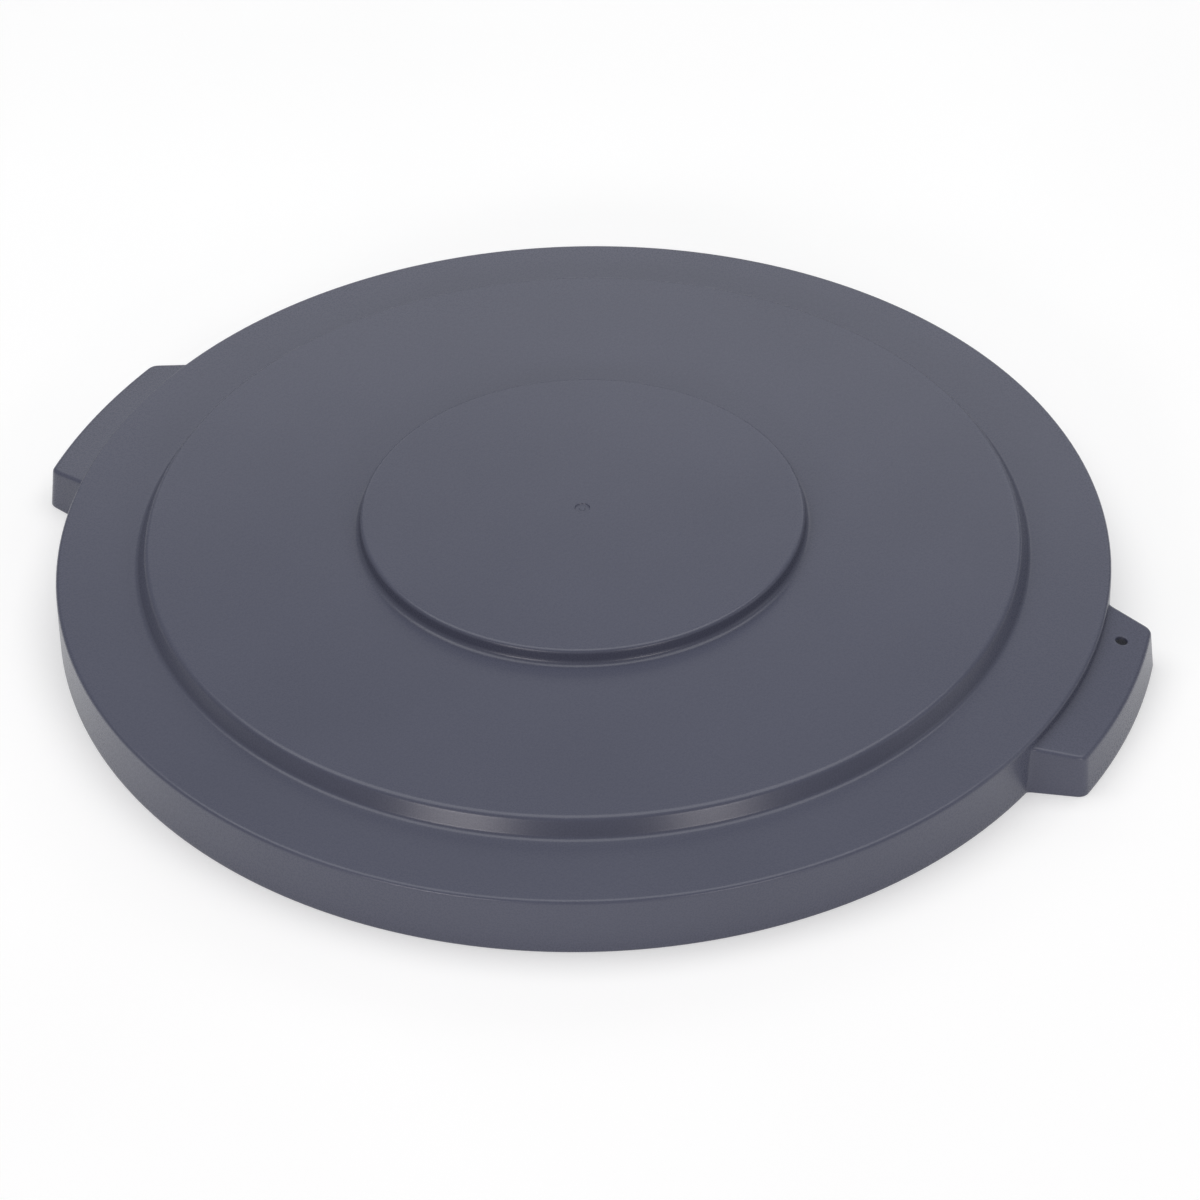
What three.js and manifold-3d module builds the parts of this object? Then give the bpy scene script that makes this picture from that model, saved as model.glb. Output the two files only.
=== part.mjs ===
// Push-fit lid of a round waste container, moulded in one piece from thin plastic.
// Millimetres, +Z up. The origin is the centre of the skirt's bottom edge plane; the two grip
// lugs stand on the X axis. A revolved shell steps up in three tiers: ledge, deck and plateau.
// Under the ledge a locating ring and the skirt form the channel that takes the container's rim.
import * as THREE from 'three';
import { mergeVertices } from 'three/addons/utils/BufferGeometryUtils.js';
import Module from 'manifold-3d';

// Driving sizes of the shell.
const RIM_RADIUS = 284.5; // outside of the skirt, at the ledge
const SKIRT_HEIGHT = 32.4; // skirt's bottom edge to the top of the ledge
const SKIRT_DRAFT = 2.3; // degrees the skirt leans outward on its way down
const WALL = 2.8; // thickness everywhere on the shell and the lugs
const LEDGE_WIDTH = 43.7; // rim to the foot of the deck's wall
const DECK_STEP = 9.7; // ledge to deck
const DECK_WALL_RUN = 5.2; // how far the deck's wall leans in over its height
const PLATEAU_RADIUS = 120.6; // foot of the plateau's wall
const PLATEAU_STEP = 8.5; // deck to plateau
const PLATEAU_WALL_RUN = 0.6; // how far the plateau's wall leans in over its height

// Edge radii on the outside; the inside ones follow from the wall.
const RIM_FILLET = 4.5;
const DECK_FILLET = 3.5;
const PLATEAU_FILLET = 2.2;
const FOOT_FILLET = 3.0; // concave corners at the foot of both walls
const EDGE_BREAK = 0.5; // small breaks on thin edges

// Moulding gate in the middle of the plateau: a shallow round recess with a small nub.
const GATE_RADIUS = 4.2;
const GATE_DEPTH = 0.8;
const GATE_NUB_RADIUS = 1.3;
const GATE_SLOPE = 0.4;

// Underside.
const CHANNEL_WIDTH = 18.7; // between the skirt and the locating ring
const RING_WALL = 2.4;
const RING_DEPTH = 15.6; // below the underside of the ledge
const RING_DRAFT_RUN = 0.4; // how far each face of the ring leans in over its depth
const BEAD_HEIGHT = 1.4; // retaining bead, proud of the skirt's inner face
const BEAD_CENTRE = 6.5; // above the skirt's bottom edge
const BEAD_SPAN = 5.0;
const SEAT_RIB_ANGLE = 16.4; // degrees from a lug's centre line to each seat rib
const SEAT_RIB_WIDTH = 2.2;
const SEAT_RIB_DEPTH = 2.5;

// Grip lugs.
const LUG_DROP = 6.2; // ledge down to the lug's top, beside the rim
const LUG_FALL = 7.6; // degrees the lug's top falls outward, along X
const LUG_REACH = 24.2; // out from the rim, at the lug's top
const LUG_HALF_WIDTH = 63.0; // at the skirt, at the lug's top
const LUG_TAPER = 15.3; // degrees each end leans in, seen from above
const LUG_DRAFT = 6.5; // degrees its walls lean out on their way down
const LUG_CORNER = 6; // outer upright corners
const LUG_TOP_FILLET = 1.8;
const TETHER_RADIUS = 3.2; // hole through one lug's top
const TETHER_REACH = 8; // hole's centre, out from the rim
const TETHER_INSET = 24.5; // hole's centre, in from the lug's end at the skirt

// Facets.
const TURN_STEPS = 80;
const FILLET_STEP = 45; // degrees of an arc to one facet
const BREAK_STEP = 90; // the same on edge breaks
const LUG_ARC_STEPS = 8;
const LUG_CORNER_STEPS = 3;
const HOLE_STEPS = 32;
const OVERLAP = 1; // how far joined and cutting solids run past each other

const PLASTIC = { color: 0x5f626f, roughness: 0.55, metalness: 0 };

const wasm = await Module();
wasm.setup();

const tangent = (degrees) => Math.tan(THREE.MathUtils.degToRad(degrees));
const point = (x, y) => new THREE.Vector2(x, y);

const deckLevel = SKIRT_HEIGHT + DECK_STEP;
const plateauLevel = deckLevel + PLATEAU_STEP;
const deckFoot = RIM_RADIUS - LEDGE_WIDTH;
const lugTop = SKIRT_HEIGHT - LUG_DROP;
const lugRoof = lugTop - WALL;

// Outer radius of the skirt at a height.
function skirtRadius(z) {
  return RIM_RADIUS + (SKIRT_HEIGHT - z) * tangent(SKIRT_DRAFT);
}

// A broken line with each corner that has a radius turned into an arc. An arc uses up at most
// 45 % of the shorter side next to it.
function filleted(corners, radii) {
  const path = [];
  corners.forEach((corner, i) => {
    const before = corners[i - 1];
    const after = corners[i + 1];
    if (!before || !after || !radii[i]) {
      path.push(corner.clone());
      return;
    }
    const back = before.clone().sub(corner);
    const ahead = after.clone().sub(corner);
    const limit = 0.45 * Math.min(back.length(), ahead.length());
    back.normalize();
    ahead.normalize();
    const half = Math.acos(THREE.MathUtils.clamp(back.dot(ahead), -1, 1)) / 2;
    const reach = Math.min(radii[i] / Math.tan(half), limit);
    const radius = reach * Math.tan(half);
    const centre = back.clone().add(ahead).normalize()
      .multiplyScalar(radius / Math.sin(half)).add(corner);
    const start = back.multiplyScalar(reach).add(corner).sub(centre);
    const end = ahead.multiplyScalar(reach).add(corner).sub(centre);
    const sweep = Math.atan2(start.cross(end), start.dot(end));
    const facet = THREE.MathUtils.degToRad(radii[i] > 2 * EDGE_BREAK ? FILLET_STEP : BREAK_STEP);
    const steps = Math.max(1, Math.ceil(Math.abs(sweep) / facet));
    for (let k = 0; k <= steps; k += 1) {
      path.push(start.clone().rotateAround(point(0, 0), (sweep * k) / steps).add(centre));
    }
  });
  return path;
}

// The same broken line moved to its right by a distance, with its last point kept at z = 0.
function inset(corners, distance) {
  const across = (a, b) => {
    const along = b.clone().sub(a).normalize();
    return point(along.y, -along.x);
  };
  return corners.map((corner, i) => {
    if (i === 0) {
      return across(corner, corners[1]).multiplyScalar(distance).add(corner);
    }
    const first = across(corners[i - 1], corner);
    if (i === corners.length - 1) {
      return point(corner.x + distance / first.x, corner.y);
    }
    const second = across(corner, corners[i + 1]);
    const scale = distance / (1 + first.dot(second));
    return first.add(second).multiplyScalar(scale).add(corner);
  });
}

// Closed half section of the revolved shell: radius across, height up.
function shellProfile() {
  const outside = [
    point(0, plateauLevel),
    point(PLATEAU_RADIUS - PLATEAU_WALL_RUN, plateauLevel),
    point(PLATEAU_RADIUS, deckLevel),
    point(deckFoot - DECK_WALL_RUN, deckLevel),
    point(deckFoot, SKIRT_HEIGHT),
    point(RIM_RADIUS, SKIRT_HEIGHT),
    point(skirtRadius(0), 0),
  ];
  const outsideRadii = [0, PLATEAU_FILLET, FOOT_FILLET, DECK_FILLET, FOOT_FILLET, RIM_FILLET, 0];
  const gate = [
    point(0, plateauLevel - GATE_SLOPE),
    point(GATE_NUB_RADIUS, plateauLevel - GATE_SLOPE),
    point(GATE_NUB_RADIUS + GATE_SLOPE, plateauLevel - GATE_DEPTH),
    point(GATE_RADIUS - GATE_SLOPE, plateauLevel - GATE_DEPTH),
    point(GATE_RADIUS, plateauLevel),
  ];
  const inside = inset(outside, WALL);
  const insideRadii = outsideRadii.map((radius, i) => {
    const concave = i === 2 || i === 4;
    return radius && (concave ? radius + WALL : Math.max(radius - WALL, EDGE_BREAK));
  });

  // Locating ring, hung from the underside of the ledge between its two corners.
  const ledgeUnder = SKIRT_HEIGHT - WALL;
  const ringOut = RIM_RADIUS - WALL - CHANNEL_WIDTH;
  const ringIn = ringOut - RING_WALL;
  const ring = [
    point(ringIn, ledgeUnder),
    point(ringIn + RING_DRAFT_RUN, ledgeUnder - RING_DEPTH),
    point(ringOut - RING_DRAFT_RUN, ledgeUnder - RING_DEPTH),
    point(ringOut, ledgeUnder),
  ];
  const ringRadii = [EDGE_BREAK * 2, EDGE_BREAK, EDGE_BREAK, EDGE_BREAK * 2];

  // Retaining bead, a low ridge round the skirt's inner face.
  const face = (z) => skirtRadius(z) - WALL / Math.cos(THREE.MathUtils.degToRad(SKIRT_DRAFT));
  const bead = [
    point(face(BEAD_CENTRE + BEAD_SPAN / 2), BEAD_CENTRE + BEAD_SPAN / 2),
    point(face(BEAD_CENTRE) - BEAD_HEIGHT, BEAD_CENTRE),
    point(face(BEAD_CENTRE - BEAD_SPAN / 2), BEAD_CENTRE - BEAD_SPAN / 2),
  ];
  const beadRadii = [0, BEAD_HEIGHT, 0];

  const under = filleted(
    [...inside.slice(0, 5), ...ring, inside[5], ...bead, inside[6]],
    [...insideRadii.slice(0, 5), ...ringRadii, insideRadii[5], ...beadRadii, 0],
  );
  const over = [...gate, ...filleted(outside, outsideRadii).slice(1)];
  return [...under, ...over.reverse()];
}

// How far the top of the +X lug has fallen at a place along X, from its height beside the rim.
function lugFall(x) {
  return (x - RIM_RADIUS) * tangent(LUG_FALL);
}

// Outline of a lug at a height, seen from above, with its walls moved in by an amount: root arc
// inside the skirt, two leaning ends, two round corners and an outer arc about the lid's axis.
// rootRadius is where the ends stop on the skirt. From the roof up the whole outline slopes with
// the top, and below it the slope fades out to a level bottom edge.
function lugOutline(z, shrink, rootRadius) {
  const taper = THREE.MathUtils.degToRad(LUG_TAPER);
  const normal = point(Math.sin(taper), Math.cos(taper));
  const along = point(Math.cos(taper), -Math.sin(taper));
  const spread = (lugTop - z) * tangent(LUG_DRAFT) - shrink;
  const foot = point(Math.sqrt(RIM_RADIUS ** 2 - LUG_HALF_WIDTH ** 2), LUG_HALF_WIDTH);
  const endOffset = normal.dot(foot) + spread;
  const outer = RIM_RADIUS + LUG_REACH + spread;
  const corner = Math.max(LUG_CORNER - shrink, EDGE_BREAK);

  const root = normal.clone().multiplyScalar(endOffset)
    .addScaledVector(along, Math.sqrt(rootRadius ** 2 - endOffset ** 2));
  const inward = endOffset - corner;
  const centre = normal.clone().multiplyScalar(inward)
    .addScaledVector(along, Math.sqrt((outer - corner) ** 2 - inward ** 2));
  const start = normal.angle();
  const sweep = centre.angle() - start;

  const half = [];
  for (let k = 0; k <= LUG_CORNER_STEPS; k += 1) {
    const turn = start + (sweep * k) / LUG_CORNER_STEPS;
    half.push(point(Math.cos(turn), Math.sin(turn)).multiplyScalar(corner).add(centre));
  }
  const last = centre.angle();
  for (let k = 1; k < LUG_ARC_STEPS; k += 1) {
    const turn = last * (1 - (2 * k) / LUG_ARC_STEPS);
    half.push(point(Math.cos(turn), Math.sin(turn)).multiplyScalar(outer));
  }
  const mirrored = half.slice(0, LUG_CORNER_STEPS + 1).map((p) => point(p.x, -p.y)).reverse();
  const rootArc = [];
  for (let k = 0; k <= LUG_ARC_STEPS; k += 1) {
    const turn = root.angle() * ((2 * k) / LUG_ARC_STEPS - 1);
    rootArc.push(point(Math.cos(turn), Math.sin(turn)).multiplyScalar(rootRadius));
  }
  return [...half, ...mirrored, ...rootArc].map((p) => {
    return new THREE.Vector3(p.x, p.y, z - lugFall(p.x) * Math.min(Math.max(z / lugRoof, 0), 1));
  });
}

// Closed solid through outlines of equal point count, stacked from bottom to top. The outlines
// run clockwise seen from above.
function loft(outlines) {
  const count = outlines[0].length;
  const positions = [];
  const triangles = [];
  outlines.flat().forEach((p) => positions.push(p.x, p.y, p.z));
  for (let level = 0; level + 1 < outlines.length; level += 1) {
    for (let i = 0; i < count; i += 1) {
      const a = level * count + i;
      const b = level * count + ((i + 1) % count);
      triangles.push(a, a + count, b, b, a + count, b + count);
    }
  }
  const top = (outlines.length - 1) * count;
  const flat = outlines[0].map((p) => point(p.x, p.y));
  THREE.ShapeUtils.triangulateShape(flat, []).forEach(([a, b, c]) => {
    const clockwise = point(0, 0).subVectors(flat[b], flat[a])
      .cross(point(0, 0).subVectors(flat[c], flat[a])) < 0;
    const [second, third] = clockwise ? [b, c] : [c, b];
    triangles.push(a, second, third, top + a, top + third, top + second);
  });
  const geometry = new THREE.BufferGeometry();
  geometry.setAttribute('position', new THREE.Float32BufferAttribute(positions, 3));
  geometry.setIndex(triangles);
  return geometry;
}

// Outside of a lug: straight drafted walls with a round edge at the top.
function lugBody() {
  const outlines = [];
  const addLevel = (z, shrink) => {
    outlines.push(lugOutline(z, shrink, skirtRadius(z) - WALL / 2));
  };
  addLevel(0, 0);
  for (let k = 0; k <= LUG_CORNER_STEPS; k += 1) {
    const turn = (Math.PI / 2) * (k / LUG_CORNER_STEPS);
    addLevel(
      lugTop - LUG_TOP_FILLET * (1 - Math.sin(turn)),
      LUG_TOP_FILLET * (1 - Math.cos(turn)),
    );
  }
  return loft(outlines);
}

// Space inside a lug, open at the bottom.
function lugHollow() {
  return loft([-OVERLAP, 0, lugRoof].map((z) => lugOutline(z, WALL, skirtRadius(z))));
}

// Manifold solid of a geometry. Triangles that a merge has folded to a line are dropped.
function solid(geometry) {
  const bare = geometry.clone();
  bare.deleteAttribute('normal');
  bare.deleteAttribute('uv');
  const merged = mergeVertices(bare, 1e-4);
  const index = Array.from(merged.index.array);
  const kept = [];
  for (let i = 0; i < index.length; i += 3) {
    const [a, b, c] = index.slice(i, i + 3);
    if (a !== b && b !== c && c !== a) kept.push(a, b, c);
  }
  return new wasm.Manifold(new wasm.Mesh({
    numProp: 3,
    vertProperties: new Float32Array(merged.attributes.position.array),
    triVerts: new Uint32Array(kept),
  }));
}

// Geometry of a manifold solid.
function geometryOf(body) {
  const mesh = body.getMesh();
  const geometry = new THREE.BufferGeometry();
  geometry.setAttribute('position', new THREE.BufferAttribute(mesh.vertProperties, 3));
  geometry.setIndex(new THREE.BufferAttribute(mesh.triVerts, 1));
  geometry.computeVertexNormals();
  return geometry;
}

// Short radial rib across the rim channel, under the ledge, where the container's rim bears.
function seatRib(angle) {
  const inner = RIM_RADIUS - WALL - CHANNEL_WIDTH - RING_WALL / 2;
  const outer = RIM_RADIUS - WALL / 2;
  const height = SEAT_RIB_DEPTH + WALL / 2;
  const rib = new THREE.BoxGeometry(outer - inner, SEAT_RIB_WIDTH, height);
  rib.translate((outer + inner) / 2, 0, SKIRT_HEIGHT - WALL / 2 - height / 2);
  return rib.rotateZ(THREE.MathUtils.degToRad(angle));
}

function makeLid() {
  const shell = new THREE.LatheGeometry(shellProfile(), TURN_STEPS).rotateX(Math.PI / 2);
  let lid = solid(shell);
  [0, 180].forEach((side) => {
    const turn = THREE.MathUtils.degToRad(side);
    lid = lid.add(solid(lugBody().rotateZ(turn))).subtract(solid(lugHollow().rotateZ(turn)));
    [-SEAT_RIB_ANGLE, SEAT_RIB_ANGLE].forEach((angle) => {
      lid = lid.add(solid(seatRib(side + angle)));
    });
  });
  const tether = new THREE.CylinderGeometry(
    TETHER_RADIUS, TETHER_RADIUS, WALL + 2 * OVERLAP, HOLE_STEPS,
  ).rotateX(Math.PI / 2);
  tether.translate(
    RIM_RADIUS + TETHER_REACH,
    LUG_HALF_WIDTH - TETHER_INSET,
    lugTop - WALL / 2 - lugFall(RIM_RADIUS + TETHER_REACH),
  );
  return lid.subtract(solid(tether));
}

const lid = new THREE.Mesh(geometryOf(makeLid()), new THREE.MeshStandardMaterial(PLASTIC));
lid.name = 'lid_moulding';

const part = new THREE.Group();
part.name = 'waste_container_lid';
part.add(lid);

export default part;
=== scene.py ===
import math

import bpy
import numpy as np
from mathutils import Matrix, Vector


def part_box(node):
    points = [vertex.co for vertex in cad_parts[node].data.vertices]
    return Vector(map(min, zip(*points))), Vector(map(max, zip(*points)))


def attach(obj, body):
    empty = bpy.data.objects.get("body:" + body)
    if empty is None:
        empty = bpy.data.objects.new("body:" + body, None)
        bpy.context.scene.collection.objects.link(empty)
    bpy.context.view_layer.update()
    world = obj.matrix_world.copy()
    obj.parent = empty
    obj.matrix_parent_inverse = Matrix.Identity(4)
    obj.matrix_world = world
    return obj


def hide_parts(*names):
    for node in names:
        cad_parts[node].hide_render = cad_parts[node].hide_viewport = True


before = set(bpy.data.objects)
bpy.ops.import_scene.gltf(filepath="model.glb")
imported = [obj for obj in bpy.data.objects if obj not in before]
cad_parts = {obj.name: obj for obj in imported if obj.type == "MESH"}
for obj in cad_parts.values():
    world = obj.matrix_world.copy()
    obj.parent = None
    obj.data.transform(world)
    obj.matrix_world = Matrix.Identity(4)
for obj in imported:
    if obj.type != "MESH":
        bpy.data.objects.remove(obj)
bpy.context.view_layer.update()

# Push-fit lid of a round waste container, one thin plastic moulding. Metres, +Z up. The lid's
# axis is Z, its skirt stands on z = 0 and its two grip lugs are on the X axis.

LID_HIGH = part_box("lid_moulding")[1]
MM = 0.001
DEGREE = math.pi / 180

# ---------------------------------------------------------------- sizes of the moulding
TOP = LID_HIGH[2]
LUG_FOOT_RADIUS = LID_HIGH[0]
SKIRT_FOOT_RADIUS = LID_HIGH[1]
WALL = 2.8 * MM
SKIRT_HEIGHT = 32.4 * MM
SKIRT_SLOPE = math.tan(2.3 * DEGREE)
RIM_RADIUS = SKIRT_FOOT_RADIUS - SKIRT_HEIGHT * SKIRT_SLOPE
DECK_FOOT_RADIUS = RIM_RADIUS - 43.7 * MM
DECK_WALL_RUN = 5.2 * MM
PLATEAU_FOOT_RADIUS = 120.6 * MM
PLATEAU_WALL_RUN = 0.6 * MM
DECK_LEVEL = TOP - 8.5 * MM

RIM_FILLET = 4.5 * MM
DECK_FILLET = 3.5 * MM
PLATEAU_FILLET = 2.2 * MM
FOOT_FILLET = 3.0 * MM
EDGE_BREAK = 0.5 * MM

GATE_RADIUS = 4.2 * MM
GATE_DEPTH = 0.8 * MM
GATE_NUB_RADIUS = 1.3 * MM
GATE_SLOPE = 0.4 * MM
GATE_FILLET = 0.3 * MM
GATE_MARGIN = 3 * MM

CHANNEL_WIDTH = 18.7 * MM
RING_WALL = 2.4 * MM
RING_DEPTH = 15.6 * MM
RING_LEAN = 0.4 * MM
RING_FILLET = 1.0 * MM
BEAD_HEIGHT = 1.4 * MM
BEAD_CENTRE = 6.5 * MM
BEAD_SPAN = 5.0 * MM
BEAD_CROWN = 1.5 * MM
BEAD_FILLET = 1.0 * MM
LEDGE_UNDER = SKIRT_HEIGHT - WALL
SEAT_RIB_ANGLE = 16.4 * DEGREE
SEAT_RIB_WIDTH = 2.2 * MM
SEAT_RIB_DEPTH = 2.5 * MM
SEAT_RIB_LEAN = 0.3
SINK_DEPTH = 0.07 * MM
SINK_WIDTH = 1.6 * MM
SINK_INNER_FADE = 6 * MM
SINK_OUTER_FADE = 3 * MM

LUG_TOP = SKIRT_HEIGHT - 6.2 * MM
LUG_FALL = math.tan(7.6 * DEGREE)
LUG_SLOPE = math.tan(6.5 * DEGREE)
LUG_RADIUS = LUG_FOOT_RADIUS - LUG_TOP * LUG_SLOPE
LUG_HALF_WIDTH = 63.0 * MM
LUG_TAPER = 15.3 * DEGREE
LUG_CORNER = 6.0 * MM
LUG_TOP_FILLET = 1.8 * MM
LUG_ROOT_FILLET = 0.7 * MM
LUG_ROOT_BLEND = 2.6 * MM
LUG_ROOF = LUG_TOP - WALL
LUG_START = 28.0 * MM
LUG_END = 13.2 * DEGREE
LUG_INNER_FILLET = 1.0 * MM
TETHER_RADIUS = 3.2 * MM
TETHER_CENTRE = (RIM_RADIUS + 8 * MM, LUG_HALF_WIDTH - 24.5 * MM)

# Direction of the outward normal of a lug's end, and that end's distance from the lid's axis.
END_NORMAL = math.pi / 2 - LUG_TAPER
END_DISTANCE = (
    math.sqrt(RIM_RADIUS**2 - LUG_HALF_WIDTH**2) * math.cos(END_NORMAL)
    + LUG_HALF_WIDTH * math.sin(END_NORMAL)
)

# Grid lines along the section: steps in each arc and each stretch, the longest step of a straight
# stretch, and the distance from an arc to the next line.
ARC_STEPS = 7
UNDER_ARC_STEPS = 4
SMALL_ARC_STEPS = 3
SMALL_RADIUS = 1.2 * MM
ROOT_STEPS = 4
WALL_STEPS = 11
HOLLOW_STEPS = 8
ROOF_STEPS = 16
PITCH = 30 * MM
HOLD = 0.4 * MM
ARC_SHARE = 0.45
SAME_POINT = 1e-7

# Grid lines round the axis: over a lug, its end and the skirt beside it as (start, end, step) in
# degrees from the lug's centre line, over a seat rib in half widths of it, and evenly elsewhere.
LUG_COLUMNS = (0.4, 9.0, 0.8)
LUG_END_COLUMNS = (9.0, 13.8, 0.17)
LUG_SIDE_COLUMNS = (14.0, 15.4, 0.45)
RIB_COLUMNS = (-3.4, -2.3, -1 - SEAT_RIB_LEAN, -1, 0, 1, 1 + SEAT_RIB_LEAN, 2.3, 3.4)
EVEN_START = 18 * DEGREE
EVEN_COLUMNS = 109

# Grid lines at the tether hole: their spacing, how many lines out the hole's edge lies, and how
# many lines out the grid is undisturbed.
HOLE_PITCH = 1.18 * MM
HOLE_RING = 3
HOLE_BLEND = 6
SHARP_ANGLE = 50 * DEGREE


# ---------------------------------------------------------------- section helpers
def round_line(corners, radii, arc_steps=ARC_STEPS, hold=HOLD):
    """Points of a broken line whose corners are arcs of their own radii. An arc touches both of
    its sides at radius / tan(half the corner's angle) from the corner, at most ARC_SHARE of the
    shorter side, and is turned through in equal steps. Straight stretches get a point close to
    each arc and one every PITCH."""
    corners = [np.array(c, float) for c in corners]
    stretches = []
    start = corners[0]
    for i in range(1, len(corners) - 1):
        back = corners[i - 1] - corners[i]
        ahead = corners[i + 1] - corners[i]
        limit = ARC_SHARE * min(np.linalg.norm(back), np.linalg.norm(ahead))
        back /= np.linalg.norm(back)
        ahead /= np.linalg.norm(ahead)
        half = math.acos(np.clip(back @ ahead, -1, 1)) / 2
        reach = min(radii[i] / math.tan(half), limit)
        radius = reach * math.tan(half)
        middle = back + ahead
        centre = corners[i] + middle / np.linalg.norm(middle) * radius / math.sin(half)
        first = corners[i] + back * reach - centre
        last = corners[i] + ahead * reach - centre
        sweep = math.atan2(first[0] * last[1] - first[1] * last[0], first @ last)
        steps = arc_steps if radius > SMALL_RADIUS else SMALL_ARC_STEPS
        turn = np.linspace(0, sweep, steps + 1)[:, None]
        across = np.array([-first[1], first[0]])
        arc = centre + first * np.cos(turn) + across * np.sin(turn)
        stretches += [straight(start, arc[0], hold), arc]
        start = arc[-1]
    stretches.append(straight(start, corners[-1], hold))
    line = np.concatenate(stretches)
    apart = np.linalg.norm(np.diff(line, axis=0), axis=1) > SAME_POINT
    return line[np.concatenate([[True], apart])]


def straight(start, end, hold):
    """Points from start to end: both ends, one a hold away from each, and even steps of at most
    PITCH between those two."""
    length = np.linalg.norm(end - start)
    if length < 3 * hold:
        return np.array([start, end])
    count = max(1, math.ceil((length - 2 * hold) / PITCH))
    share = np.concatenate([[0], np.linspace(hold, length - hold, count + 1), [length]]) / length
    return start + (end - start) * share[:, None]


def inset(corners, distance):
    """The broken line moved to its right by a distance. Each corner moves along the sum of its
    sides' right-hand normals, scaled so that both sides move by the distance. The last point
    stays at its height."""
    corners = np.array(corners, float)
    sides = np.diff(corners, axis=0)
    sides /= np.linalg.norm(sides, axis=1)[:, None]
    normals = np.stack([sides[:, 1], -sides[:, 0]], 1)
    moved = corners.copy()
    moved[0] += normals[0] * distance
    dots = (normals[:-1] * normals[1:]).sum(1)
    moved[1:-1] += (normals[:-1] + normals[1:]) * (distance / (1 + dots))[:, None]
    moved[-1, 0] += distance / normals[-1, 0]
    return moved


def skirt(height):
    """Radius of the skirt's outer face at a height: it leans out evenly on its way down."""
    return RIM_RADIUS + (SKIRT_HEIGHT - height) * SKIRT_SLOPE


def skirt_inner(height):
    """Radius of the skirt's inner face, one wall in from the outer face."""
    return skirt(height) - WALL * math.hypot(1, SKIRT_SLOPE)


def lug_fall(across):
    """How far a lug's top has fallen at a distance across the lid, measured along X, from its
    height beside the rim."""
    return LUG_FALL * (across - RIM_RADIUS)


def lug_plan(turn, height, shrink):
    """Radius of a lug's side wall in a direction turn away from the lug's centre line, at a
    height, with the walls moved in by shrink. Near the centre line it is a circle about the
    lid's axis, at the end it is a straight line, distance / cos(END_NORMAL - turn), and between
    them it is the corner's circle, which touches both."""
    spread = (LUG_TOP - height) * LUG_SLOPE - shrink
    outer = LUG_RADIUS + spread
    distance = END_DISTANCE + spread
    corner = np.maximum(LUG_CORNER - shrink, EDGE_BREAK)
    reach = outer - corner
    centre = END_NORMAL - np.arccos((distance - corner) / reach)
    touch = np.arctan2(
        reach * np.sin(centre) + corner * math.sin(END_NORMAL),
        reach * np.cos(centre) + corner * math.cos(END_NORMAL),
    )
    off = turn - centre
    inside = np.maximum(corner**2 - (reach * np.sin(off)) ** 2, 0)
    circle = reach * np.cos(off) + np.sqrt(inside)
    line = distance / np.cos(END_NORMAL - turn)
    return np.where(turn < centre, outer, np.where(turn < touch, circle, line))


def outer_wall(turn, height, shrink):
    """The larger of the skirt's radius and the lug's, with the step between them rounded off:
    where they differ by less than LUG_ROOT_BLEND, a quarter of (blend - difference) squared
    over the blend is added."""
    lug = lug_plan(turn, height, shrink)
    face = skirt(height)
    short = np.maximum(LUG_ROOT_BLEND - np.abs(lug - face), 0)
    return np.maximum(lug, face) + short**2 / (4 * LUG_ROOT_BLEND)


def hollow_wall(turn, height, shrink):
    """Radius of the inner face of a lug's side wall. Where the hollow would be narrower than
    HOLD, or there is none, it is the skirt's outer face."""
    lug = lug_plan(turn, height, WALL + shrink)
    return np.where(lug > skirt(height) + HOLD, lug, skirt(height))


# ---------------------------------------------------------------- grid of the whole moulding
def column_turns():
    """Directions of the grid's columns round the axis. They are even round the lid, closer over
    the lugs, closest over the lugs' ends, and placed on both edges of each seat rib and in even
    steps across the tether hole."""
    spans = (LUG_COLUMNS, LUG_END_COLUMNS, LUG_SIDE_COLUMNS)
    half = np.concatenate([np.arange(*span) for span in spans]) * DEGREE
    rib = SEAT_RIB_WIDTH / 2 / RIM_RADIUS
    near = np.concatenate([half, SEAT_RIB_ANGLE + rib * np.array(RIB_COLUMNS)])
    lug = np.concatenate([-near, near])
    between = np.linspace(EVEN_START, math.pi - EVEN_START, EVEN_COLUMNS)
    turns = np.concatenate([lug, between, lug + math.pi, between + math.pi]) % (2 * math.pi)
    hole = math.atan2(TETHER_CENTRE[1], TETHER_CENTRE[0])
    step = HOLE_PITCH / math.hypot(*TETHER_CENTRE)
    across = hole + step * np.arange(-HOLE_BLEND - 2, HOLE_BLEND + 3)
    clear = np.abs(turns - hole) > step * (HOLE_BLEND + 2.5)
    return np.unique(np.concatenate([turns[clear], across]).round(9))


def top_section():
    """Section of the upper face from the axis to the skirt, just above a lug's top: the gate's
    recess with its nub, then plateau, deck and ledge with a rounded corner at each change."""
    gate = round_line(
        [
            (0, TOP - GATE_SLOPE),
            (GATE_NUB_RADIUS, TOP - GATE_SLOPE),
            (GATE_NUB_RADIUS + GATE_SLOPE, TOP - GATE_DEPTH),
            (GATE_RADIUS - GATE_SLOPE, TOP - GATE_DEPTH),
            (GATE_RADIUS, TOP),
            (GATE_RADIUS + GATE_MARGIN, TOP),
        ],
        [0, GATE_FILLET, GATE_FILLET, GATE_FILLET, GATE_FILLET, 0],
        hold=GATE_FILLET / 2,
    )
    tiers = round_line(
        [
            (GATE_RADIUS + GATE_MARGIN, TOP),
            *outer_corners()[1:-1],
            (skirt(LUG_START), LUG_START),
        ],
        [0, PLATEAU_FILLET, FOOT_FILLET, DECK_FILLET, FOOT_FILLET, RIM_FILLET, 0],
    )
    return np.concatenate([gate, tiers[1:]])


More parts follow.
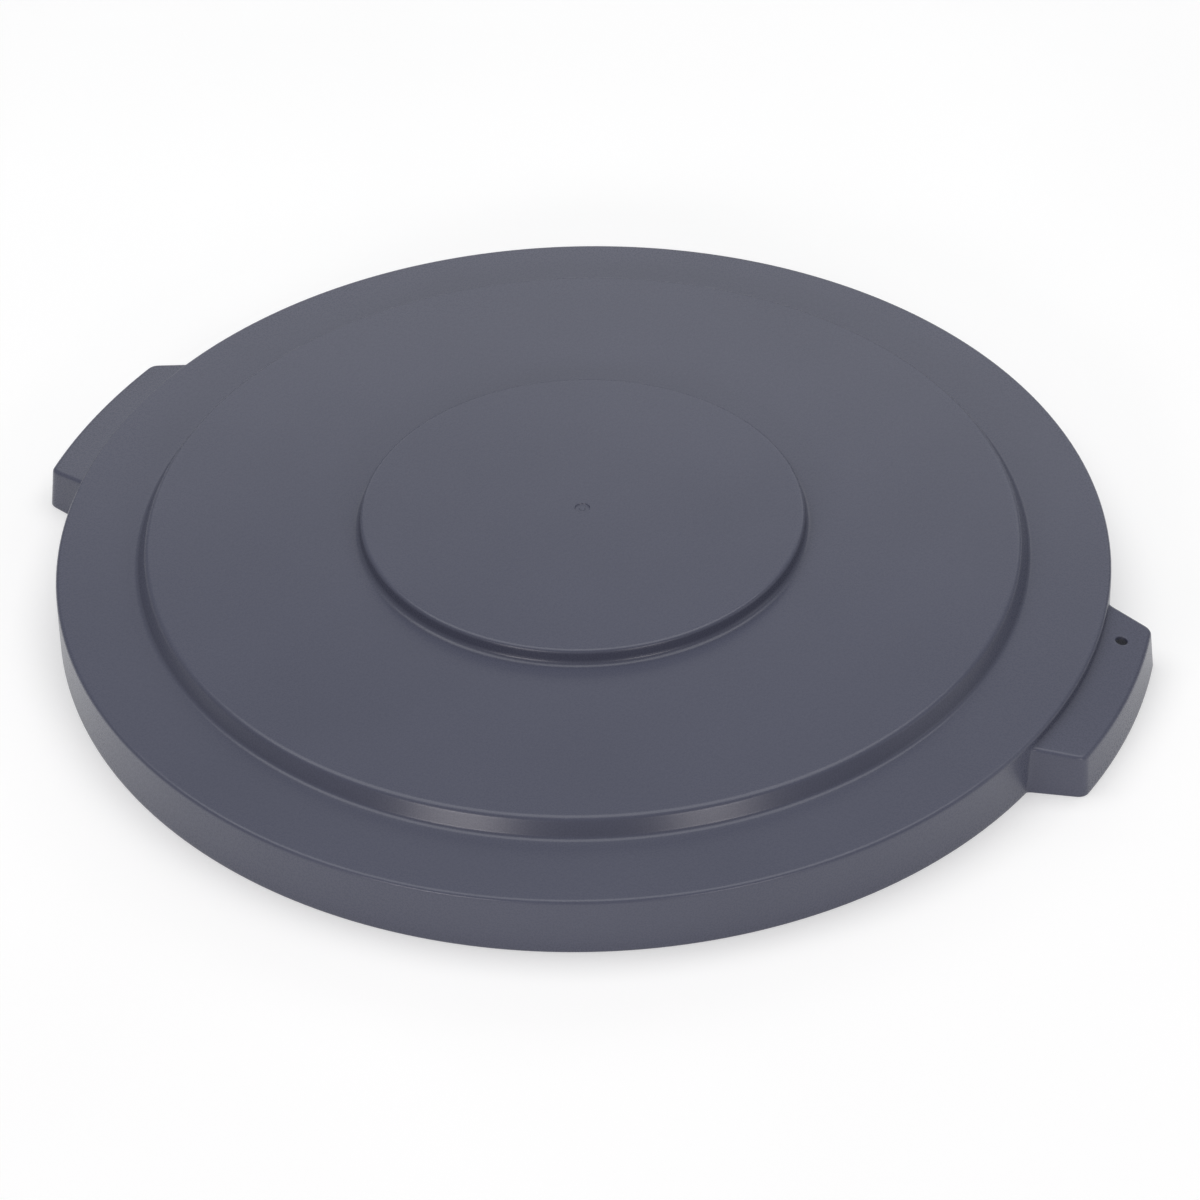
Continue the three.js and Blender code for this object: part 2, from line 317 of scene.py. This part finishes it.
def outer_corners():
    """Sharp corners of the shell's outer section, from the axis to the skirt's foot."""
    return [
        (0, TOP),
        (PLATEAU_FOOT_RADIUS - PLATEAU_WALL_RUN, TOP),
        (PLATEAU_FOOT_RADIUS, DECK_LEVEL),
        (DECK_FOOT_RADIUS - DECK_WALL_RUN, DECK_LEVEL),
        (DECK_FOOT_RADIUS, SKIRT_HEIGHT),
        (RIM_RADIUS, SKIRT_HEIGHT),
        (skirt(0), 0),
    ]


def channel_section():
    """Section of the rim channel: up the skirt's inner face over the retaining bead, across under
    the ledge and down the locating ring's outer face to its foot."""
    high = BEAD_CENTRE + BEAD_SPAN / 2
    low = BEAD_CENTRE - BEAD_SPAN / 2
    corner = inset(outer_corners(), WALL)[5]
    ring = RIM_RADIUS - WALL - CHANNEL_WIDTH
    return round_line(
        [
            (skirt_inner(EDGE_BREAK), EDGE_BREAK),
            (skirt_inner(low), low),
            (skirt_inner(BEAD_CENTRE) - BEAD_HEIGHT, BEAD_CENTRE),
            (skirt_inner(high), high),
            corner,
            (ring, LEDGE_UNDER),
            (ring - RING_LEAN, LEDGE_UNDER - RING_DEPTH),
            (ring - RING_WALL / 2, LEDGE_UNDER - RING_DEPTH),
        ],
        [
            0, BEAD_FILLET, BEAD_CROWN, BEAD_FILLET, RIM_FILLET - WALL, RING_FILLET, EDGE_BREAK,
            0,
        ],
        UNDER_ARC_STEPS,
    )


def mouth_section():
    """Section of the underside from the locating ring's foot in to the axis: up the ring's inner
    face, under the ledge, then one wall below the deck and the plateau."""
    ring = RIM_RADIUS - WALL - CHANNEL_WIDTH
    inner = inset(outer_corners(), WALL)
    return round_line(
        [
            (ring - RING_WALL / 2, LEDGE_UNDER - RING_DEPTH),
            (ring - RING_WALL + RING_LEAN, LEDGE_UNDER - RING_DEPTH),
            (ring - RING_WALL, LEDGE_UNDER),
            *inner[4::-1],
        ],
        [
            0, EDGE_BREAK, RING_FILLET, FOOT_FILLET + WALL, DECK_FILLET - WALL,
            FOOT_FILLET + WALL, EDGE_BREAK, 0,
        ],
        UNDER_ARC_STEPS,
    )


def lug_section(turn):
    """Radii and heights of the section from just above the lug's top to the skirt's foot, for
    each column, as an array of shape (2, rows, columns). Away from the lugs, the lug's own rows
    close up on the skirt. Also gives the last row before the lug's top and the last before the
    roof of its hollow. The section is worked out with a level top, and then every point down to
    the roof drops by lug_fall, and one below the roof by the share height / LUG_ROOF of it. Each
    point follows the skirt's lean as it drops, so that one on the skirt stays on it."""
    column = np.ones((1, turn.size))
    lean = np.cos(np.minimum(turn, LUG_END))
    blocks = []

    def add(radius, height):
        radius, height = np.broadcast_arrays(radius * column, height * column)
        low = height - lug_fall(radius * lean) * np.minimum(height / LUG_ROOF, 1)
        blocks.append(np.stack([radius + skirt(low) - skirt(height), low]))
        return sum(b.shape[1] for b in blocks) - 1

    # Concave root between the skirt and the lug's top, then the top.
    share = np.linspace(0, 1, ROOF_STEPS + 1)[1:, None]
    quarter = np.linspace(0, math.pi / 2, ROOT_STEPS + 1)[1:, None]
    edge = outer_wall(turn, LUG_TOP, LUG_TOP_FILLET)
    root = np.minimum(LUG_ROOT_FILLET, edge - skirt(LUG_TOP))
    height = LUG_TOP + LUG_ROOT_FILLET * (1 - np.sin(quarter))
    top_row = add(skirt(height) + root * (1 - np.cos(quarter)), height)
    inner = skirt(LUG_TOP) + root
    add(inner + (edge - inner) * share, LUG_TOP)

    # Convex edge of the top, then the side wall down to its foot.
    quarter = np.linspace(0, math.pi / 2, ARC_STEPS)[1:, None]
    height = LUG_TOP - LUG_TOP_FILLET * (1 - np.cos(quarter))
    add(outer_wall(turn, height, LUG_TOP_FILLET * (1 - np.sin(quarter))), height)
    height = np.linspace(LUG_TOP - LUG_TOP_FILLET, EDGE_BREAK, WALL_STEPS + 1)[1:, None]
    add(outer_wall(turn, height, 0), height)

    # Foot of the side wall, rounded on both edges. Where the hollow is less than a millimetre
    # wide, the inner edge is rounded less.
    quarter = np.linspace(0, math.pi / 2, SMALL_ARC_STEPS + 1)[:, None]
    wall = outer_wall(turn, EDGE_BREAK, 0)
    hollow = hollow_wall(turn, EDGE_BREAK, 0)
    outer_break = np.minimum(EDGE_BREAK, (wall - hollow) / 2)
    inner_break = outer_break * np.clip((hollow - skirt(EDGE_BREAK)) / MM, 0, 1)
    foot = EDGE_BREAK - outer_break
    lip = foot + inner_break
    hollow = hollow_wall(turn, lip, 0)
    rounded = quarter[1:]
    add(wall - outer_break * (1 - np.cos(rounded)), EDGE_BREAK - outer_break * np.sin(rounded))
    add(hollow + inner_break * (1 - np.sin(quarter)), foot + inner_break * (1 - np.cos(quarter)))

    # Up the inside of the side wall, across under the roof and down the skirt.
    climb = np.linspace(0, 1, HOLLOW_STEPS + 1)[1:, None]
    up = lip + (LUG_ROOF - LUG_INNER_FILLET - lip) * climb
    bend = LUG_ROOF - LUG_INNER_FILLET * (1 - np.sin(rounded))
    add(hollow_wall(turn, up, 0), up)
    shrink = LUG_INNER_FILLET * (1 - np.cos(rounded))
    roof_row = add(hollow_wall(turn, bend, shrink), bend)
    outer = hollow_wall(turn, LUG_ROOF, LUG_INNER_FILLET)
    add(outer + (skirt(LUG_ROOF) - outer) * share, LUG_ROOF)
    down = np.concatenate([lip[None], up, bend[:-1] * column])[::-1]
    add(skirt(down), down)

    # Foot of the skirt.
    add(skirt(lip) - lip * (1 - np.cos(rounded)), lip * (1 - np.sin(rounded)))
    rounded = quarter[:-1]
    add(
        skirt_inner(EDGE_BREAK) + EDGE_BREAK * (1 - np.sin(rounded)),
        EDGE_BREAK * (1 - np.cos(rounded)),
    )
    return np.concatenate(blocks, axis=1), top_row, roof_row


def add_seat_ribs(turn, section):
    """The rim channel's section for each column, with the seat ribs: where a column crosses a
    rib, nothing in the channel reaches above the rib's foot. A rib's sides lean out by
    SEAT_RIB_LEAN of its half width."""
    half = SEAT_RIB_WIDTH / 2 / RIM_RADIUS
    off = np.abs(from_lug(turn) - SEAT_RIB_ANGLE) / half
    depth = SEAT_RIB_DEPTH * np.clip((1 + SEAT_RIB_LEAN - off) / SEAT_RIB_LEAN, 0, 1)
    radius = section[:, :1] * np.ones_like(turn)
    height = np.minimum(section[:, 1:], LEDGE_UNDER - depth)
    return np.stack([radius, height])


def add_sinks(turn, section):
    """The upper face's section for each column, with a faint sink over each seat rib: a bell
    curve across the rib, SINK_DEPTH deep, over the width of the rim channel."""
    radius = section[:, :1] * np.ones_like(turn)
    off = (from_lug(turn) - SEAT_RIB_ANGLE) * RIM_RADIUS / SINK_WIDTH
    start = RIM_RADIUS - WALL - CHANNEL_WIDTH - RING_WALL
    end = RIM_RADIUS - RIM_FILLET
    fade_in = np.clip((radius - start) / SINK_INNER_FADE, 0, 1)
    fade_out = np.clip((end - radius) / SINK_OUTER_FADE, 0, 1)
    depth = SINK_DEPTH * np.exp(-(off**2)) * fade_in * fade_out
    return np.stack([radius, section[:, 1:] - depth])


def from_lug(turn):
    """Angle between a column and the nearer lug's centre line, from 0 to a quarter turn."""
    return np.abs((turn + math.pi / 2) % math.pi - math.pi / 2)


def open_hole(points, row, column, step, centre, radius):
    """Moves the grid's points round (row, column) so that the square ring of points HOLE_RING
    lines out lies on the hole's circle. Each point keeps its direction from the centre, and the
    move fades out to nothing HOLE_BLEND lines out. step is the sign of a row further out."""
    line = np.arange(-HOLE_BLEND, HOLE_BLEND + 1)
    out, across = np.meshgrid(line, line, indexing="ij")
    ring = np.maximum(np.abs(out), np.abs(across))
    rows = row + step * out
    columns = column + across
    here = points[rows, columns, :2]
    lean = np.arctan2(across, out) + math.atan2(centre[1], centre[0])
    circle = np.stack([np.cos(lean), np.sin(lean)], -1) * radius + np.array(centre)
    share = np.clip((HOLE_BLEND - ring) / (HOLE_BLEND - HOLE_RING), 0, 1)[..., None]
    move = (circle - here) * share
    points[rows, columns, :2] += move
    points[rows, columns, 2] -= LUG_FALL * move[..., 0]


def hole_ring():
    """Grid steps (out, across) round the square ring on the hole's edge, in order."""
    side = np.arange(-HOLE_RING, HOLE_RING)
    far = np.full_like(side, HOLE_RING)
    out = np.concatenate([side, far, -side, -far])
    across = np.concatenate([-far, side, far, -side])
    return out, across


def lid_mesh():
    """The whole moulding as one closed grid. A column is one direction round the axis and a row
    is one point of the section, from the axis out over the top, round the lugs and the skirt,
    and back in to the axis underneath: (radius cos turn, radius sin turn, height). Both ends
    close up to a point, and rows that lie on each other are merged and dropped."""
    turn = column_turns()
    top = add_sinks(turn, top_section())
    lug, top_row, roof_row = lug_section(from_lug(turn))
    channel = add_seat_ribs(turn, channel_section())
    mouth = mouth_section()[1:, :, None] * np.ones_like(turn)
    grid = np.concatenate([top, lug, channel, mouth.transpose(1, 0, 2)], axis=1)
    radius, height = grid
    points = np.stack([radius * np.cos(turn), radius * np.sin(turn), height], -1)
    top_row += top.shape[1]
    roof_row += top.shape[1]

    # Tether hole: a ring of points on the top, one on the roof, and a short tube between them.
    reach = math.hypot(*TETHER_CENTRE)
    column = int(np.argmin(np.abs(turn - math.atan2(TETHER_CENTRE[1], TETHER_CENTRE[0]))))
    span = np.arange(1, ROOF_STEPS + 1)
    upper = top_row + 1 + int(np.argmin(np.abs(radius[top_row + span, column] - reach)))
    lower = roof_row + 1 + int(np.argmin(np.abs(radius[roof_row + span, column] - reach)))
    open_hole(points, upper, column, 1, TETHER_CENTRE, TETHER_RADIUS + EDGE_BREAK)
    open_hole(points, lower, column, -1, TETHER_CENTRE, TETHER_RADIUS + EDGE_BREAK)
    count = turn.size
    index = np.arange(grid.shape[1] * count).reshape(-1, count)
    quads = np.stack(
        [index[:-1], index[1:], np.roll(index, -1, 1)[1:], np.roll(index, -1, 1)[:-1]], -1
    )
    inside = slice(column - HOLE_RING, column + HOLE_RING)
    kept = np.ones(quads.shape[:2], bool)
    kept[upper - HOLE_RING:upper + HOLE_RING, inside] = False
    kept[lower - HOLE_RING:lower + HOLE_RING, inside] = False

    out, across = hole_ring()
    upper_ring = index[upper + out, column + across]
    lower_ring = index[lower - out, column + across]
    tube, tube_quads = hole_tube(points, upper_ring, lower_ring, index.size)
    points = np.concatenate([points.reshape(-1, 3), tube])
    faces = np.concatenate([quads[kept], tube_quads])
    return merged_mesh("lid_shell", points, faces)


def hole_tube(points, upper_ring, lower_ring, first):
    """Points and faces of the hole's wall between two rings of the grid: both edges are quarter
    circles of EDGE_BREAK, and the wall between them is straight."""
    quarter = np.linspace(0, math.pi / 2, SMALL_ARC_STEPS + 1)[1:]
    edge = EDGE_BREAK * (1 - np.sin(quarter))
    drop = EDGE_BREAK * (1 - np.cos(quarter))
    radius = np.concatenate([edge, edge[::-1]]) + TETHER_RADIUS
    height = np.concatenate([LUG_TOP - drop, LUG_ROOF + drop[::-1]])
    flat = points.reshape(-1, 3)
    away = flat[upper_ring, :2] - TETHER_CENTRE
    away /= np.linalg.norm(away, axis=1)[:, None]
    plan = np.array(TETHER_CENTRE) + away * radius[:, None, None]
    level = height[:, None] - lug_fall(plan[..., 0])
    tube = np.concatenate([plan, level[..., None]], -1)
    rings = first + np.arange(tube.shape[0] * tube.shape[1]).reshape(tube.shape[:2])
    rings = np.concatenate([upper_ring[None], rings, lower_ring[None]])
    after = np.roll(rings, -1, 1)
    quads = np.stack([rings[:-1], after[:-1], after[1:], rings[1:]], -1).reshape(-1, 4)
    return tube.reshape(-1, 3), quads


def merged_mesh(name, points, quads):
    """A mesh of the quads, with points closer than a micrometre made one. A quad that has shrunk
    to a line goes, and so do two quads on the same corners, back to back."""
    _, first, same = np.unique(
        points.round(6), axis=0, return_index=True, return_inverse=True
    )
    quads = same.reshape(-1)[quads]
    corners = np.sort(quads, axis=1)
    distinct = 1 + (np.diff(corners, axis=1) > 0).sum(1)
    repeat = np.concatenate([np.zeros((len(quads), 1), bool), np.diff(corners, axis=1) == 0], 1)
    key = np.sort(np.where(repeat, -1, corners), axis=1)
    _, group, size = np.unique(key, axis=0, return_inverse=True, return_counts=True)
    quads = quads[(distinct > 2) & (size[group.reshape(-1)] == 1)]
    used, quads = np.unique(quads, return_inverse=True)
    quads = quads.reshape(-1, 4)
    back = quads == np.roll(quads, 1, axis=1)
    triangle = back.any(1)
    faces = quads[~triangle].tolist() + quads[triangle][~back[triangle]].reshape(-1, 3).tolist()
    mesh = bpy.data.meshes.new(name)
    mesh.from_pydata(points[first][used].tolist(), [], faces)
    mesh.shade_smooth()
    mesh.set_sharp_from_angle(angle=SHARP_ANGLE)
    return mesh


# ---------------------------------------------------------------- materials
PLASTIC_DARK = (0.076, 0.081, 0.117)
PLASTIC_LIGHT = (0.082, 0.087, 0.125)
PLASTIC_ROUGHNESS = (0.26, 0.29)
PLASTIC_IOR = 1.5
PLASTIC_SPECULAR = 0.4
TABLE_DARK = (0.69, 0.69, 0.69)
TABLE_LIGHT = (0.71, 0.71, 0.71)
TABLE_ROUGHNESS = 0.9
TABLE_SPECULAR = 0.1
TABLE_GLOW = 0.34

# Cycles per metre of the noises, and the part of their range where most of them lies.
DRIFT = 9
GRAIN = 1100
WAVE = 7
TABLE_DRIFT = 3
NOISE_LOW = 0.3
NOISE_HIGH = 0.7


def new_material(name):
    """An empty node material with its Principled shader and output joined."""
    material = bpy.data.materials.new(name)
    material.use_nodes = True
    nodes = material.node_tree.nodes
    nodes.clear()
    output = nodes.new("ShaderNodeOutputMaterial")
    shader = nodes.new("ShaderNodeBsdfPrincipled")
    material.node_tree.links.new(shader.outputs["BSDF"], output.inputs["Surface"])
    return material, nodes, material.node_tree.links, shader


def noise(nodes, links, vector, scale, detail, roughness=0.5):
    """A noise texture over the object's own coordinates. Its scale is in cycles per metre."""
    node = nodes.new("ShaderNodeTexNoise")
    node.inputs["Scale"].default_value = scale
    node.inputs["Detail"].default_value = detail
    node.inputs["Roughness"].default_value = roughness
    links.new(vector, node.inputs["Vector"])
    return node.outputs["Fac"]


def ramp(nodes, links, factor, low, high):
    """A colour that runs from low to high as a factor goes from NOISE_LOW to NOISE_HIGH."""
    node = nodes.new("ShaderNodeValToRGB")
    first, last = node.color_ramp.elements
    first.position = NOISE_LOW
    first.color = (*low, 1)
    last.position = NOISE_HIGH
    last.color = (*high, 1)
    links.new(factor, node.inputs["Fac"])
    return node.outputs["Color"]


def spread(nodes, links, factor, low, high):
    """Maps a factor from NOISE_LOW..NOISE_HIGH to low..high."""
    node = nodes.new("ShaderNodeMapRange")
    node.inputs["From Min"].default_value = NOISE_LOW
    node.inputs["From Max"].default_value = NOISE_HIGH
    node.inputs["To Min"].default_value = low
    node.inputs["To Max"].default_value = high
    links.new(factor, node.inputs["Value"])
    return node.outputs["Result"]


def bump(nodes, links, height, distance, strength, normal=None):
    """A bump of a height field, distance metres deep where the height is 1."""
    node = nodes.new("ShaderNodeBump")
    node.inputs["Distance"].default_value = distance
    node.inputs["Strength"].default_value = strength
    links.new(height, node.inputs["Height"])
    if normal is not None:
        links.new(normal, node.inputs["Normal"])
    return node.outputs["Normal"]


def lid_plastic():
    """Bluish mid grey polyethylene with a fine matt moulded grain: pigment that drifts slightly
    over a hand's width, a grain finer than a millimetre that shows in height and gloss, and a
    very shallow waviness from cooling."""
    material, nodes, links, shader = new_material("lid_plastic")
    place = nodes.new("ShaderNodeTexCoord").outputs["Object"]
    drift = noise(nodes, links, place, DRIFT, 3)
    colour = ramp(nodes, links, drift, PLASTIC_DARK, PLASTIC_LIGHT)
    links.new(colour, shader.inputs["Base Color"])
    grain = noise(nodes, links, place, GRAIN, 3, 0.6)
    roughness = spread(nodes, links, grain, *PLASTIC_ROUGHNESS)
    links.new(roughness, shader.inputs["Roughness"])
    wave = noise(nodes, links, place, WAVE, 1)
    waved = bump(nodes, links, wave, distance=0.5 * MM, strength=0.35)
    grained = bump(nodes, links, grain, distance=0.05 * MM, strength=0.15, normal=waved)
    links.new(grained, shader.inputs["Normal"])
    shader.inputs["IOR"].default_value = PLASTIC_IOR
    shader.inputs["Specular IOR Level"].default_value = PLASTIC_SPECULAR
    return material


def floor_paper():
    """Pale table that glows a little, so that the underside of the lid gets some light. It is
    clear from below."""
    material, nodes, links, shader = new_material("floor_paper")
    place = nodes.new("ShaderNodeTexCoord").outputs["Object"]
    tone = noise(nodes, links, place, TABLE_DRIFT, 2)
    white = ramp(nodes, links, tone, TABLE_DARK, TABLE_LIGHT)
    links.new(white, shader.inputs["Base Color"])
    shader.inputs["Roughness"].default_value = TABLE_ROUGHNESS
    shader.inputs["Specular IOR Level"].default_value = TABLE_SPECULAR
    shader.inputs["Emission Color"].default_value = (1, 1, 1, 1)
    shader.inputs["Emission Strength"].default_value = TABLE_GLOW
    clear = nodes.new("ShaderNodeBsdfTransparent")
    side = nodes.new("ShaderNodeMixShader")
    links.new(nodes.new("ShaderNodeNewGeometry").outputs["Backfacing"], side.inputs["Fac"])
    links.new(shader.outputs["BSDF"], side.inputs[1])
    links.new(clear.outputs["BSDF"], side.inputs[2])
    links.new(side.outputs["Shader"], nodes["Material Output"].inputs["Surface"])
    return material


# ---------------------------------------------------------------- object
FLOOR_HALF = 6.0


def place_piece(name, mesh, material):
    """A new object of a mesh, at the origin, with its material."""
    piece = bpy.data.objects.new(name, mesh)
    bpy.context.scene.collection.objects.link(piece)
    mesh.materials.append(material)
    return piece


def make_lid():
    """The moulding, in place of the CAD lid."""
    shell = place_piece("lid_shell", lid_mesh(), lid_plastic())
    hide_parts("lid_moulding")
    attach(shell, "root")


def make_floor():
    """A square table top at the height of the skirt's edge."""
    signs = [(-1, -1), (1, -1), (1, 1), (-1, 1)]
    corners = [(x * FLOOR_HALF, y * FLOOR_HALF, 0) for x, y in signs]
    mesh = bpy.data.meshes.new("floor")
    mesh.from_pydata(corners, [], [(0, 1, 2, 3)])
    place_piece("floor", mesh, floor_paper())


# ---------------------------------------------------------------- camera and light
VIEW_AZIMUTH = 25.2 * DEGREE
VIEW_ELEVATION = 39.29 * DEGREE
VIEW_ROLL = 1.12 * DEGREE
VIEW_DISTANCE = 6.5 * RIM_RADIUS
VIEW_OFFSET = (-0.030 * RIM_RADIUS, 0.038 * RIM_RADIUS)
VIEW_LENS = 101.1
LIGHT_DISTANCE = 2.4
BEHIND_DISTANCE = 2.6
ROOM_COLOUR = (0.98, 0.99, 1, 1)
ROOM_STRENGTH = 0.22
WARM = (1, 0.95, 0.96)


def direction(azimuth, elevation):
    """Unit vector from the lid towards a point at an azimuth and an elevation. Azimuth 0 is on
    the -Y side and a quarter turn on the +X side."""
    flat = math.cos(elevation)
    return Vector((math.sin(azimuth) * flat, -math.cos(azimuth) * flat, math.sin(elevation)))


def make_camera():
    """Looks along the view direction with its picture turned by VIEW_ROLL about its centre, and
    with the lid's origin VIEW_OFFSET to the right of and above the line of sight."""
    back = direction(VIEW_AZIMUTH, VIEW_ELEVATION)
    right = Vector((math.cos(VIEW_AZIMUTH), math.sin(VIEW_AZIMUTH), 0))
    up = back.cross(right)
    place = back * VIEW_DISTANCE - right * VIEW_OFFSET[0] - up * VIEW_OFFSET[1]
    across = right * math.cos(VIEW_ROLL) - up * math.sin(VIEW_ROLL)
    upward = right * math.sin(VIEW_ROLL) + up * math.cos(VIEW_ROLL)
    lens = bpy.data.cameras.new("camera")
    lens.lens = VIEW_LENS
    lens.sensor_width = 36
    lens.clip_start = 0.05
    lens.clip_end = 50
    camera = bpy.data.objects.new("camera", lens)
    turn = Matrix((across, upward, back)).transposed()
    camera.matrix_world = Matrix.Translation(place) @ turn.to_4x4()
    bpy.context.scene.collection.objects.link(camera)
    bpy.context.scene.camera = camera


def softbox(name, azimuth, elevation, distance, size, power, colour=(1, 1, 1)):
    """A rectangular light facing the lid. Its azimuth and elevation are in degrees, and the
    azimuth is measured from the camera's."""
    light = bpy.data.lights.new(name, "AREA")
    light.shape = "RECTANGLE"
    light.size, light.size_y = size
    light.energy = power
    light.color = colour
    lamp = bpy.data.objects.new(name, light)
    away = direction(VIEW_AZIMUTH + azimuth * DEGREE, elevation * DEGREE)
    lamp.matrix_world = (
        Matrix.Translation(away * distance) @ away.to_track_quat("Z", "Y").to_matrix().to_4x4()
    )
    bpy.context.scene.collection.objects.link(lamp)


def make_lights():
    """A dim white room, a large overhead softbox, a wide one behind for the sheen on the level
    faces, one from each side, and two small ones beside the camera that show on the slopes."""
    world = bpy.data.worlds.new("studio")
    world.use_nodes = True
    background = world.node_tree.nodes["Background"]
    background.inputs["Color"].default_value = ROOM_COLOUR
    background.inputs["Strength"].default_value = ROOM_STRENGTH
    bpy.context.scene.world = world
    softbox("overhead", 180, 84, LIGHT_DISTANCE, size=(3.6, 2.2), power=48)
    softbox("behind", 171, 31, BEHIND_DISTANCE, size=(3.2, 0.7), power=8)
    softbox("left", -95, 50, LIGHT_DISTANCE, size=(0.5, 0.4), power=2)
    softbox("right", 84, 16, LIGHT_DISTANCE, size=(1.0, 0.8), power=1.8)
    softbox("front_left", -28, 16, LIGHT_DISTANCE, size=(0.8, 0.35), power=10, colour=WARM)
    softbox("front_right", 27, 16, LIGHT_DISTANCE, size=(0.7, 0.35), power=7, colour=WARM)
    bpy.context.scene.view_settings.view_transform = "Standard"


# ---------------------------------------------------------------- scene
make_camera()
make_lights()
make_floor()
make_lid()

bpy.context.view_layer.update()
